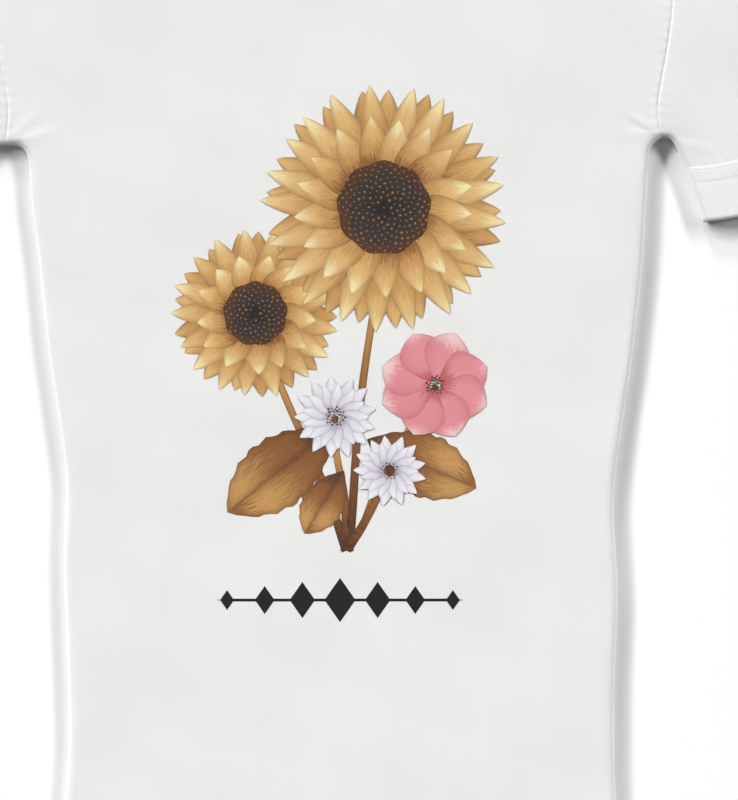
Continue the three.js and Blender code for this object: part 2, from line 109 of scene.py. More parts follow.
right_side, left_side = Line(RIGHT_SIDE), Line(LEFT_SIDE)
right_armhole, left_armhole = Line(RIGHT_ARMHOLE), Line(LEFT_ARMHOLE)
right_underarm, left_underarm = Line(RIGHT_UNDERARM), Line(LEFT_UNDERARM)
right_tip, left_tip = on_shirt(*RIGHT_ARMHOLE[-1]), on_shirt(*LEFT_ARMHOLE[-1])
right_neck = on_shirt(NECK_HALF_WIDTH, SHOULDER_HEIGHT)
left_neck = on_shirt(-NECK_HALF_WIDTH, SHOULDER_HEIGHT)
right_rib_fold = on_shirt(NECK_HALF_WIDTH - RIB_WIDTH, SHOULDER_HEIGHT + RIB_FOLD_RISE)
left_rib_fold = on_shirt(RIB_WIDTH - NECK_HALF_WIDTH, SHOULDER_HEIGHT + RIB_FOLD_RISE)
FOLDS = [
    left_side.dense[::4], right_side.dense[::4], right_underarm.dense[::4], left_underarm.dense[::4],
    np.array([on_shirt(*RIGHT_CUFF), right_tip, right_neck, right_rib_fold]),
    np.array([left_rib_fold, left_neck, left_tip, on_shirt(*LEFT_CUFF)]),
]


def distance_to(lines, places):
    """How far each place lies from the nearest of some broken lines."""
    flat = places.reshape(-1, 2)
    nearest = np.full(len(flat), np.inf)
    for line in lines:
        for a, b in zip(line[:-1], line[1:]):
            run = b - a
            s = np.clip((flat - a) @ run / max(run @ run, 1e-12), 0, 1)
            nearest = np.minimum(nearest, np.linalg.norm(flat - a - s[:, None] * run, axis=1))
    return nearest.reshape(places.shape[:-1])


def climb(distance, reach=FOLD_REACH):
    left = 1 - np.clip(distance / reach, 0, 1)
    return np.sqrt(1 - left * left)


# Slow waves in the laid cloth, as height, length of wave, heading and start
WAVES = [
    (0.26 * MM, 0.21, 0.5, 0.3), (0.22 * MM, 0.145, 1.9, 1.7), (0.16 * MM, 0.098, 2.7, 4.1),
    (0.10 * MM, 0.061, 1.2, 2.6),
]
# Small creases that run out from the armpits, as pit side, heading, length, width and height
CREASES = [
    (1, 2.45, 0.034, 2.4 * MM, 0.50 * MM), (1, 3.0, 0.042, 3.4 * MM, 0.32 * MM),
    (1, 1.9, 0.030, 2.6 * MM, 0.30 * MM), (-1, 0.75, 0.036, 2.8 * MM, 0.38 * MM),
    (-1, 0.2, 0.044, 3.6 * MM, 0.30 * MM), (-1, 1.35, 0.032, 2.6 * MM, 0.28 * MM),
    (1, -0.35, 0.040, 3.0 * MM, 0.30 * MM), (-1, 3.45, 0.040, 3.0 * MM, 0.30 * MM),
]
SEAM_DIP = 0.7 * MM
SEAM_WIDTH = 0.85 * MM
PUCKER = 0.16 * MM
PUCKER_PITCH = 7.5 * MM


def relief(places, distance):
    """What the upper layer adds to its plain height: waves, creases, and the pull of its seams."""
    x, y = places[..., 0], places[..., 1]
    height = np.zeros(x.shape)
    for size, length, heading, start in WAVES:
        across = x * math.cos(heading) + y * math.sin(heading)
        height += size * np.sin(2 * math.pi * across / length + start)
    for side, heading, length, width, size in CREASES:
        pit = right_side.at(1) if side > 0 else left_side.at(1)
        ahead = (x - pit[0]) * math.cos(heading) + (y - pit[1]) * math.sin(heading)
        aside = (y - pit[1]) * math.cos(heading) - (x - pit[0]) * math.sin(heading)
        aside = aside - 0.12 * ahead * ahead / length
        shape = np.exp(-((ahead - length * 0.45) / (length * 0.35)) ** 2)
        height += size * shape * (np.exp(-(aside / width) ** 2)
                                  - 0.55 * np.exp(-((aside - 1.7 * width) / width) ** 2))
    seam = distance_to([right_armhole.dense[::6], left_armhole.dense[::6]], places)
    height -= SEAM_DIP * np.exp(-(seam / SEAM_WIDTH) ** 2)
    height += PUCKER * np.sin(2 * math.pi * y / PUCKER_PITCH) * np.exp(-(seam / (6 * MM)) ** 2)
    return height * np.clip(distance / (2 * FOLD_REACH), 0, 1)


def upper_face(places):
    distance = distance_to(FOLDS, places)
    return MIDDLE + MIDDLE * climb(distance) + relief(places, distance)


def lower_face(places):
    return MIDDLE - MIDDLE * climb(distance_to(FOLDS, places))


HEM_STEP = 0.45 * MM
STEP_WIDTH = 0.5 * MM
HEM_RIPPLE = 0.10 * MM
RIPPLE_PITCH = 8.3 * MM
RIPPLE_PLACE = 0.75
GROOVE = 0.2 * MM
GROOVE_WIDTH = 0.8 * MM


def stitched_hem(places, depth, along_hem, turned, rows):
    """The step over a turned edge and the two grooves that its stitches pull, fading at folds."""
    step = HEM_STEP / (1 + np.exp(np.clip((depth - turned) / STEP_WIDTH, -30, 30)))
    ripple = HEM_RIPPLE * np.sin(2 * math.pi * along_hem / RIPPLE_PITCH)
    ripple = ripple * np.exp(-((depth - turned * RIPPLE_PLACE) / turned) ** 2)
    groove = sum(np.exp(-((depth - row) / GROOVE_WIDTH) ** 2) for row in rows)
    fade = np.clip(distance_to(FOLDS, places) / FOLD_REACH, 0, 1)
    return fade * (step + ripple - GROOVE * groove)


def paired(x, y):
    """Two coordinates as flat places."""
    return np.stack(np.broadcast_arrays(x, y), -1)


def raised(places, heights):
    """Flat places with their heights, as points in space."""
    return np.concatenate([places, heights[..., None]], -1)


def patch(bottom, top, left, right, us, vs):
    """Places on a piece of cloth between four of its edges, as rows of the pattern."""
    u, v = us[None, :, None], vs[:, None, None]
    far = int(np.argmax(us))
    return ((1 - u) * left[:, None] + u * right[:, None] + (1 - v) * bottom[None] + v * top[None]
            - (1 - u) * (1 - v) * bottom[0] - u * (1 - v) * bottom[far]
            - (1 - u) * v * top[0] - u * v * top[far])


def spaced(start, end, step):
    return np.linspace(start, end, max(2, int(round(abs(end - start) / step)) + 1))


def crowded(length, step, near=9):
    """Fractions of a length with many close to the folds at its ends."""
    turn = np.linspace(0, math.pi / 2, near + 1)[:-1]
    close = FOLD_REACH * (1 - np.cos(turn)) / length
    run = spaced(FOLD_REACH / length, 1 - FOLD_REACH / length, step / length)
    return np.concatenate([close, run, (1 - close)[::-1]])


def merged(*runs):
    together = np.sort(np.concatenate(runs))
    return together[np.concatenate([[True], np.diff(together) > 1e-6])]


def neck_curve(end, lowest):
    """A curve round the neck from left to right, from its right end and how low it goes."""
    def at(s):
        s = np.asarray(s, float)
        return paired(-end[0] * np.cos(math.pi * s), end[1] - (end[1] - lowest) * np.sin(math.pi * s))
    return at


def neck_line(drop):
    return neck_curve(right_neck, right_neck[1] - drop * MM)


def body_places(drop, us, vs):
    """The places of a body panel, from the hem to the shoulders and the neck."""
    def edge(side, armhole, rows):
        low = rows <= PIT_SHARE
        return np.where(low[:, None], side.at(np.minimum(rows / PIT_SHARE, 1)),
                        armhole.at(np.maximum((rows - PIT_SHARE) / (1 - PIT_SHARE), 0)))

    def evened(side, armhole):
        """The edge with its notch at the armpit evened out, for the cloth well inside it."""
        reach = np.minimum(EVENING_REACH, np.minimum(vs, 1 - vs))
        return np.mean([edge(side, armhole, vs + k * reach) for k in np.linspace(-1, 1, 17)], axis=0)

    left, right = edge(left_side, left_armhole, vs), edge(right_side, right_armhole, vs)
    left_even, right_even = evened(left_side, left_armhole), evened(right_side, right_armhole)
    neck = neck_line(drop)
    top = np.empty((len(us), 2))
    for i, u in enumerate(us):
        if u < SHOULDER_SHARE:
            top[i] = left_tip + (left_neck - left_tip) * u / SHOULDER_SHARE
        elif u > 1 - SHOULDER_SHARE:
            top[i] = right_tip + (right_neck - right_tip) * (1 - u) / SHOULDER_SHARE
        else:
            top[i] = neck((u - SHOULDER_SHARE) / (1 - 2 * SHOULDER_SHARE))
    foot = np.interp(us, [0, SHOULDER_SHARE, 1 - SHOULDER_SHARE, 1],
                     [left[0, 0], -NECK_FOOT, NECK_FOOT, right[0, 0]])
    bottom = paired(foot, left[0, 1])
    places = patch(bottom, top, left_even, right_even, us, vs)
    places += (left - left_even)[:, None] * np.exp(-(us / NOTCH_SHARE) ** 2)[None, :, None]
    places += (right - right_even)[:, None] * np.exp(-((1 - us) / NOTCH_SHARE) ** 2)[None, :, None]
    return places


def placed(name, data):
    """A new object in the scene."""
    thing = bpy.data.objects.new(name, data)
    bpy.context.scene.collection.objects.link(thing)
    return thing


def riding(name, mesh):
    """A smooth piece that rides on the shirt, attached to its root body."""
    mesh.polygons.foreach_set("use_smooth", [True] * len(mesh.polygons))
    mesh.update()
    piece = placed(name, mesh)
    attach(piece, "root")
    return piece


def mesh_of(name, points, faces, material):
    mesh = bpy.data.meshes.new(name)
    mesh.from_pydata([tuple(p) for p in points], [], faces)
    mesh.materials.append(material)
    return riding(name, mesh)


def grid_faces(rows, columns, closed=False, turned=False):
    faces = []
    for r in range(rows - 1):
        for c in range(columns if closed else columns - 1):
            d = (c + 1) % columns
            quad = (r * columns + c, r * columns + d, (r + 1) * columns + d, (r + 1) * columns + c)
            faces.append(quad[::-1] if turned else quad)
    return faces


def name_uv(piece, uv, label="cloth"):
    """Gives the piece its cloth coordinates in metres, or others, a pair for each of its points."""
    mesh = piece.data
    layer = mesh.uv_layers.new(name=label)
    corners = np.empty(len(mesh.loops), dtype=np.int32)
    mesh.loops.foreach_get("vertex_index", corners)
    layer.data.foreach_set("uv", np.asarray(uv, dtype=np.float32)[corners].ravel())


def cloth_piece(name, replaced, places, heights, material, uv=None, thickness=JERSEY,
                closed=False, turned=False):
    """A piece of cloth from its outer face, with its thickness inside, in place of a solid."""
    piece = mesh_of(name, raised(places, heights).reshape(-1, 3),
                    grid_faces(*places.shape[:2], closed, turned), material)
    name_uv(piece, (places if uv is None else uv).reshape(-1, 2))
    wall = piece.modifiers.new("thickness", "SOLIDIFY")
    wall.thickness = thickness
    wall.offset = -1
    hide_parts(replaced)
    return piece


# Jersey: fine upright ribs of knitted loops on the outside, soft and matt, barely uneven in tone
WALE = 0.75 * MM


def node_group(name, kind, inputs, outputs):
    group = bpy.data.node_groups.new(name, kind)
    for label, kind, value in inputs:
        socket = group.interface.new_socket(label, in_out="INPUT", socket_type=kind)
        if value is not None:
            socket.default_value = value
    for label, kind in outputs:
        group.interface.new_socket(label, in_out="OUTPUT", socket_type=kind)
    return group, group.nodes.new("NodeGroupInput"), group.nodes.new("NodeGroupOutput")


def give(node, **values):
    """Sets some inputs of a node, with a low line for each space in their names."""
    for label, value in values.items():
        node.inputs[label.replace("_", " ")].default_value = value


def texture(tree, kind, place, **values):
    """A texture over some coordinates."""
    node = tree.nodes.new(f"ShaderNodeTex{kind}")
    tree.links.new(place, node.inputs["Vector"])
    give(node, **values)
    return node


def uv_of(tree, label="cloth"):
    node = tree.nodes.new("ShaderNodeUVMap")
    node.uv_map = label
    return node.outputs[0]


def object_place(tree):
    return tree.nodes.new("ShaderNodeTexCoord").outputs["Object"]


def math_node(tree, kind, a, b=None, c=None):
    node = tree.nodes.new("ShaderNodeMath")
    node.operation = kind
    for socket, value in zip(node.inputs, (a, b, c)):
        if value is None:
            continue
        if isinstance(value, (int, float)):
            socket.default_value = value
        else:
            tree.links.new(value, socket)
    return node.outputs[0]


def knit_group():
    """Height and tone of knitted loops, from cloth coordinates in metres."""
    group, given, out = node_group(
        "knit loops", "ShaderNodeTree",
        [("Cloth", "NodeSocketVector", None), ("Wale", "NodeSocketFloat", WALE),
         ("Unevenness", "NodeSocketFloat", 0.35)],
        [("Height", "NodeSocketFloat"), ("Tone", "NodeSocketFloat")])
    split = group.nodes.new("ShaderNodeSeparateXYZ")
    group.links.new(given.outputs["Cloth"], split.inputs[0])
    across = math_node(group, "DIVIDE", split.outputs[0], given.outputs["Wale"])
    along = math_node(group, "DIVIDE", split.outputs[1], given.outputs["Wale"])
    along = math_node(group, "MULTIPLY", along, 1.35)
    wobble = texture(group, "Noise", given.outputs["Cloth"], Scale=180.0)
    drift = math_node(group, "MULTIPLY", wobble.outputs[0], given.outputs["Unevenness"])
    turns = math_node(group, "ADD", across, drift)
    wale = math_node(group, "SINE", math_node(group, "MULTIPLY", turns, 2 * math.pi))
    arch = math_node(group, "SINE", math_node(group, "MULTIPLY", across, math.pi))
    slope = math_node(group, "ABSOLUTE", arch)
    courses = math_node(group, "ADD", along, math_node(group, "ADD", slope, drift))
    loop = math_node(group, "SINE", math_node(group, "MULTIPLY", courses, 2 * math.pi))
    height = math_node(group, "MULTIPLY_ADD", loop, 0.35, math_node(group, "MULTIPLY", wale, 0.5))
    group.links.new(height, out.inputs["Height"])
    stretch = group.nodes.new("ShaderNodeVectorMath")
    stretch.operation = "MULTIPLY"
    stretch.inputs[1].default_value = (1.0, 0.35, 1.0)
    group.links.new(given.outputs["Cloth"], stretch.inputs[0])
    slub = texture(group, "Noise", stretch.outputs[0], Scale=38.0, Detail=6.0)
    group.links.new(slub.outputs[0], out.inputs["Tone"])
    return group


KNIT = knit_group()


def knit_over(tree, place, wale=WALE):
    """The knit's height and tone at some cloth coordinates."""
    knit = tree.nodes.new("ShaderNodeGroup")
    knit.node_tree = KNIT
    knit.inputs["Wale"].default_value = wale
    tree.links.new(place, knit.inputs["Cloth"])
    return knit.outputs


def new_material(name):
    material = bpy.data.materials.new(name)
    material.use_nodes = True
    return material, material.node_tree


def finished(tree, colour, normal, **values):
    """Links a material's colour and normal, and sets the rest of its finish."""
    shader = tree.nodes["Principled BSDF"]
    tree.links.new(colour, shader.inputs["Base Color"])
    if normal is not None:
        tree.links.new(normal, shader.inputs["Normal"])
    give(shader, **values)


def bump(tree, height, distance, strength=1.0, under=None):
    node = tree.nodes.new("ShaderNodeBump")
    give(node, Strength=strength, Distance=distance)
    tree.links.new(height, node.inputs["Height"])
    if under is not None:
        tree.links.new(under, node.inputs["Normal"])
    return node.outputs[0]


def blended(tree, share, first, second, blend="MIX"):
    """A colour between two, each a colour or a socket."""
    node = tree.nodes.new("ShaderNodeMix")
    node.data_type = "RGBA"
    node.blend_type = blend
    if isinstance(share, (int, float)):
        node.inputs["Factor"].default_value = share
    else:
        tree.links.new(share, node.inputs["Factor"])
    for label, value in (("A", first), ("B", second)):
        socket = next(s for s in node.inputs if s.name == label and s.type == "RGBA")
        if isinstance(value, tuple):
            socket.default_value = (*value, 1.0)
        else:
            tree.links.new(value, socket)
    return next(s for s in node.outputs if s.type == "RGBA")


def jersey_material(name, light, dark, wale=WALE):
    material, tree = new_material(name)
    cloth = uv_of(tree)
    knit = knit_over(tree, cloth, wale)
    fuzz = texture(tree, "Noise", cloth, Scale=900.0, Detail=3.0)
    loops = bump(tree, knit["Height"], 0.05 * MM)
    finished(tree, blended(tree, knit["Tone"], dark, light),
             bump(tree, fuzz.outputs[0], 0.05 * MM, 0.5, loops),
             Roughness=0.92, Specular_IOR_Level=0.2, Sheen_Weight=0.12, Sheen_Roughness=0.6)
    return material


jersey = jersey_material("white jersey", (0.845, 0.845, 0.832), (0.808, 0.808, 0.796))


def meet_at_sides(heights, rows):
    """Brings both side edges of a panel to the middle of the fold, below the armholes."""
    heights[np.ix_(rows <= PIT_SHARE, [0, -1])] = MIDDLE


shoulder = crowded(np.linalg.norm(right_tip - right_neck), 4.2 * MM, 6)
neck_share = crowded(0.300, 3.6 * MM, 3)
us = merged(shoulder * SHOULDER_SHARE, SHOULDER_SHARE + neck_share * (1 - 2 * SHOULDER_SHARE),
            1 - shoulder * SHOULDER_SHARE)
side_length = right_side.length
vs = merged(
    spaced(0, 12 * MM, 3 * MM) / side_length * PIT_SHARE,
    spaced(12 * MM, 23 * MM, 0.65 * MM) / side_length * PIT_SHARE,
    spaced(23 * MM, side_length, 4.2 * MM) / side_length * PIT_SHARE,
    PIT_SHARE + crowded(right_armhole.length, 2.0 * MM) * (1 - PIT_SHARE))
front_places = body_places(FRONT_NECK_DROP, us, vs)
front_heights = upper_face(front_places)
front_heights += stitched_hem(front_places, front_places[..., 1] + HALF_LENGTH, front_places[..., 0],
                              BODY_HEM_DEPTH, BODY_HEM_ROWS)
meet_at_sides(front_heights, vs)
front_panel = cloth_piece("front_panel_cloth", "front_panel", front_places, front_heights,
                          jersey)

# Back panel
# The same jersey, cut with a shallow neck. It lies on the floor and rolls up at its edges
# to meet the front.
us = merged(crowded(0.430, 6.5 * MM, 7), [SHOULDER_SHARE, 1 - SHOULDER_SHARE])
vs = vs[(vs <= PIT_SHARE) & (vs > 23 * MM / side_length * PIT_SHARE)]
vs = merged(spaced(0, 23 * MM, 3 * MM) / side_length * PIT_SHARE, vs, [PIT_SHARE],
            PIT_SHARE + crowded(right_armhole.length, 6 * MM, 7) * (1 - PIT_SHARE))
back_places = body_places(BACK_NECK_DROP, us, vs)
back_heights = lower_face(back_places)
meet_at_sides(back_heights, vs)
back_panel = cloth_piece("back_panel_cloth", "back_panel", back_places, back_heights,
                         jersey, turned=True)

# Sleeves
# Each is one piece of jersey, closed along the underarm and folded over at the top, sewn into
# the armhole. The mouth is turned up inside and held by two rows of stitches.
SLEEVE_SIDES = {
    "right": (right_underarm, on_shirt(*RIGHT_CUFF), right_armhole, right_tip, 1),
    "left": (left_underarm, on_shirt(*LEFT_CUFF), left_armhole, left_tip, -1),
}


SLEEVE_RUN = 110 * MM


def bowed(a, b, s, side):
    """A hem from the underarm to the cuff that bows out a little."""
    run = (b - a) / np.linalg.norm(b - a)
    middle = (a + b) / 2 + side * HEM_BOW * np.array([run[1], -run[0]])
    s = np.asarray(s)[..., None]
    return (1 - s) ** 2 * a + 2 * s * (1 - s) * middle + s**2 * b


class Sleeve:
    """The pattern of one sleeve: from the armhole to the hem's seam, and on to the mouth."""

    def __init__(self, underarm, cuff, armhole, tip, side):
        self.underarm, self.cuff, self.armhole, self.tip, self.side = underarm, cuff, armhole, tip, side
        self.seam_share = 1 - SLEEVE_HEM_DEPTH / underarm.length
        self.seam_top = cuff + (tip - cuff) * SLEEVE_HEM_DEPTH / np.linalg.norm(cuff - tip)
        self.mouth = np.linalg.norm(cuff - underarm.at(1))

    def seam(self, us):
        return bowed(self.underarm.at(self.seam_share), self.seam_top, us, self.side)

    def body(self, us, vs):
        return patch(self.armhole.at(us), self.seam(us), self.underarm.at(vs * self.seam_share),
                     self.tip + (self.seam_top - self.tip) * vs[:, None], us, vs)

    def band(self, us, vs):
        top = bowed(self.underarm.at(1), self.cuff, us, self.side)
        return patch(self.seam(us), top, self.underarm.at(self.seam_share + vs * (1 - self.seam_share)),
                     self.seam_top + (self.cuff - self.seam_top) * vs[:, None], us, vs)


def sleeve_cloth(pattern, upper, lower, body_rows, band_rows):
    """Places, heights and cloth coordinates of a sleeve as a flattened tube."""
    around = np.concatenate([upper, lower[::-1][1:-1]])
    above = len(upper)
    body = pattern.body(around, body_rows)
    band = pattern.band(around, band_rows)
    places = np.concatenate([body[:-1], band])
    heights = np.empty(places.shape[:2])
    heights[:, :above] = upper_face(places[:, :above])
    heights[:, above:] = lower_face(places[:, above:])
    depth = np.concatenate([
        SLEEVE_HEM_DEPTH + (1 - body_rows[:-1]) * SLEEVE_RUN, SLEEVE_HEM_DEPTH * (1 - band_rows)])
    shape = stitched_hem(places, depth[:, None], (around * pattern.mouth)[None], SLEEVE_HEM_DEPTH,
                         SLEEVE_HEM_ROWS)
    heights[:, :above] += shape[:, :above]
    heights[:, [0, above - 1]] = MIDDLE
    across = np.concatenate([upper, 2 - lower[::-1][1:-1]]) * pattern.mouth
    return places, heights, paired(across[None], -depth[:, None])


patterns = {name: Sleeve(*given) for name, given in SLEEVE_SIDES.items()}
for name, pattern in patterns.items():
    upper = crowded(pattern.armhole.length, 2.2 * MM)
    lower = crowded(pattern.armhole.length, 7 * MM)
    body_rows = merged(spaced(0, 0.06, 0.012), spaced(0.06, 0.96, 0.026), spaced(0.96, 1, 0.006))
    band_rows = merged(spaced(0, 0.09, 0.016), spaced(0.09, 0.2, 0.05), spaced(0.2, 0.34, 0.016),
                       spaced(0.34, 1, 0.08))
    places, heights, uv = sleeve_cloth(pattern, upper, lower, body_rows, band_rows)
    cloth_piece(f"sleeve_{name}_cloth", f"sleeve_{name}", places, heights,
                                jersey, uv, closed=True, turned=pattern.side > 0)

# Hem turn-ups
# The cloth's own edge, folded to the inside of each mouth. It shows as a second layer there.
TURN_UP_GAP = 0.05 * MM


def inner_ring(name, first, last, places_at, rows, turned, replaced):
    """A turned-up edge inside a mouth, as a flattened ring a layer in from the outside."""
    upper = crowded(np.linalg.norm(first - last), 3.5 * MM)
    around = np.concatenate([upper, upper[::-1][1:-1]])
    places = places_at(around, rows)
    middle = places[:, :len(upper)].mean(axis=1, keepdims=True)
    inset = (JERSEY + TURN_UP_GAP) / (np.linalg.norm(first - last) / 2)
    places = places + (middle - places) * inset
    distance = distance_to(FOLDS, places)
    inner = MIDDLE - JERSEY - TURN_UP_GAP
    rise = inner * climb(distance - JERSEY, FOLD_REACH - JERSEY)
    heights = np.where(np.arange(len(around))[None] < len(upper), MIDDLE + rise, MIDDLE - rise)
    heights[:, [0, len(upper) - 1]] = MIDDLE
    return cloth_piece(name, replaced, places, heights, jersey, thickness=JERSEY * 0.85,
                       closed=True, turned=turned)


def body_mouth(around, rows):
    depth = rows * BODY_HEM_DEPTH
    left = left_side.at(depth / left_side.length)[:, None]
    right = right_side.at(depth / right_side.length)[:, None]
    return left + (right - left) * around[None, :, None]


rows = np.linspace(0.02, 0.97, 5)
body_turn_up = inner_ring("body_hem_turn_up", left_side.at(0), right_side.at(0), body_mouth, rows,
                          False, "body_hem")
for name, pattern in patterns.items():
    inner_ring(
        f"sleeve_hem_{name}_turn_up", pattern.underarm.at(1), pattern.cuff,
        lambda around, rows, p=pattern: p.band(around, 1 - rows[::-1]), rows, pattern.side > 0,
        f"sleeve_hem_{name}")

# Neckband
# A folded strip of one by one rib, sewn round the neck and drawn in so that it lies flat. Its
# ribs stand across the strip, and its free edge is the fold.
RIB = 1.6 * MM
RIB_PITCH = 1.45 * MM
RIB_DEPTH = 0.17 * MM
RIB_REACH = 5.0 * MM


def rib_loops():
    """Middle places and heights of the neckband: front from left to right, then back again."""
    seam = right_neck - np.array([0.2, 0.0]) * MM
    front_low = on_shirt(0, SHOULDER_HEIGHT - FRONT_NECK_DROP)[1]
    back_low = on_shirt(0, SHOULDER_HEIGHT - BACK_NECK_DROP)[1]
    width = RIB_WIDTH * MM
    return [(neck_curve(seam, low), neck_curve(right_rib_fold, low + width))
            for low in (front_low, back_low)]


def even_walk(curve, step):
    """Shares of a curve that are evenly far apart along it."""
    s = np.linspace(0, 1, 2000)
    p = curve(s)
    walked = np.concatenate([[0], np.cumsum(np.linalg.norm(np.diff(p, axis=0), axis=1))])
    count = int(walked[-1] / step)
    return np.interp(np.linspace(0, walked[-1], count + 1), walked, s), walked[-1]


rib_front, rib_back = rib_loops()
front_shares, front_run = even_walk(rib_front[0], RIB_PITCH / 4)
back_shares, back_run = even_walk(rib_back[0], RIB_PITCH / 4)
section = np.concatenate([
    [(0.0, 0.5), (0.012, 0.98)], [(v, 1.0) for v in np.linspace(0.06, 0.94, 8)],
    [(0.965, 0.92), (0.99, 0.6), (1.0, 0.0), (0.99, -0.6), (0.965, -0.92)],
    [(v, -1.0) for v in np.linspace(0.94, 0.06, 5)], [(0.012, -0.98), (0.0, -0.5)]])


def rib_middle(pair, shares, v, sign):
    place = pair[0](shares) * (1 - v) + pair[1](shares) * v
    fold_run = np.minimum(shares, 1 - shares)
    length = np.abs(fold_run) * (front_run if sign > 0 else back_run)
    height = MIDDLE + sign * (MIDDLE - RIB / 2) * climb(length, RIB_REACH)
    return raised(place, height)


rings = []
for v, level in section:
    front = rib_middle(rib_front, front_shares, v, 1)
    back = rib_middle(rib_back, back_shares[::-1], v, -1)[1:-1]
    rings.append(np.concatenate([front, back]))
rings = np.stack(rings)
inner_edge = rings[int(len(section) / 2)]
outer_edge = rings[0]
forward = np.roll(rings[4], -1, axis=0) - np.roll(rings[4], 1, axis=0)
across = inner_edge - outer_edge
facing = np.cross(across, forward)
facing /= np.linalg.norm(facing, axis=1, keepdims=True)
if facing[len(front_shares) // 2, 2] < 0:
    facing = -facing
count = rings.shape[1]
phase = 2 * math.pi * np.arange(count) / 4
for i, (v, level) in enumerate(section):
    flatness = np.clip(min(v, 1.0 - v) / 0.05, 0.0, 1.0)
    wave = RIB_DEPTH * np.cos(phase) * (0.35 + 0.65 * flatness)
    thick = level * RIB / 2 + np.sign(level) * (wave - RIB_DEPTH)
    rings[i] += facing * thick[:, None]
walk = np.arange(count) * RIB_PITCH / 4
rib_points = rings.reshape(-1, 3)
rib_faces = grid_faces(len(section), count, closed=True)
rib_faces += [((len(section) - 1) * count + c, (len(section) - 1) * count + (c + 1) % count,
               (c + 1) % count, c) for c in range(count)]
rib = jersey_material("white rib", (0.810, 0.810, 0.796), (0.770, 0.770, 0.757), wale=0.7 * MM)
neckband = mesh_of("neckband_rib", rib_points, rib_faces, rib)
rib_uv = paired(walk[None], (section[:, 0] * RIB_WIDTH * MM)[:, None])
name_uv(neckband, rib_uv.reshape(-1, 2))
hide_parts("neck_rib")

# Neck tape and label
# A strip of the shirt's own jersey covers the back neck seam inside, held by a row of stitches
# at each edge. A blank satin label hangs from it.
TAPE_WIDTH = 12 * MM
TAPE_HALF_LENGTH = 78 * MM
TAPE_THICKNESS = 0.6 * MM
LABEL = (38 * MM, 24 * MM)
LABEL_DROP = 2 * MM
SEAM_ALLOWANCE = 1 * MM
TAPE_CROWN = 0.35 * MM
LABEL_LIFT = 0.45 * MM
LABEL_CURL = 1.1 * MM
LABEL_WAVE = 0.25 * MM


def tape_edge(shares, below):
    x = (2 * shares - 1) * TAPE_HALF_LENGTH
    sine = np.sqrt(1 - (x / (NECK_HALF_WIDTH * MM)) ** 2)
    neck = on_shirt(0, SHOULDER_HEIGHT)[1] - BACK_NECK_DROP * MM * sine
    return paired(x, neck - below)


shares = np.linspace(0, 1, 90)
across = np.linspace(0, 1, 9)[:, None, None]
low, high = tape_edge(shares, TAPE_WIDTH + SEAM_ALLOWANCE), tape_edge(shares, SEAM_ALLOWANCE)
tape_places = low[None] * (1 - across) + high[None] * across
crown = TAPE_CROWN * (1 - (2 * across[..., 0] - 1) ** 4)
tape_heights = JERSEY + TAPE_THICKNESS + crown + 0.05 * MM * np.sin(shares * 160)[None]
tape = cloth_piece("neck_tape_strip", "neck_tape", tape_places, tape_heights, jersey,
                   thickness=TAPE_THICKNESS * 0.8)

satin, tree = new_material("blank label satin")
weave = texture(tree, "Wave", uv_of(tree), Scale=900.0, Distortion=0.4)
weave.bands_direction = "Y"
finished(tree, blended(tree, weave.outputs[1], (0.84, 0.83, 0.80), (0.93, 0.92, 0.89)),
         bump(tree, weave.outputs[1], 0.04 * MM), Roughness=0.42, Sheen_Weight=0.2)
us, vs = np.linspace(-0.5, 0.5, 25), np.linspace(0, 1, 17)
label_top = tape_edge(np.array([0.5]), TAPE_WIDTH + SEAM_ALLOWANCE)[0, 1] + LABEL_DROP
label_places = paired(us[None] * LABEL[0], label_top - vs[:, None] * LABEL[1])
curl = LABEL_CURL * vs[:, None] ** 2.2 + LABEL_WAVE * np.cos(us[None] * 5.5) * vs[:, None]
label_heights = JERSEY + LABEL_LIFT + curl
label = cloth_piece("neck_label_blank", "neck_label", label_places, label_heights,
                    satin, thickness=0.3 * MM, turned=True)

# Stitches
# White cotton thread. Pairs of rows hold each turned hem and the neck seam, and single rows the
# shoulders and the tape. Each stitch is a short round length of thread that dips at its ends.
THREAD = 0.22 * MM
STITCH_PITCH = 3.0 * MM
STITCH_LENGTH = 2.35 * MM
STITCH_SIZES = (("Pitch", STITCH_PITCH), ("Length", STITCH_LENGTH), ("Thread", THREAD))
thread_paint, tree = new_material("white thread")
twist = texture(tree, "Wave", object_place(tree), Scale=700.0)
twist.bands_direction = "DIAGONAL"
finished(tree, blended(tree, twist.outputs[1], (0.74, 0.74, 0.73), (0.86, 0.86, 0.85)),
         bump(tree, twist.outputs[1], 0.03 * MM), Roughness=0.6, Sheen_Weight=0.25)


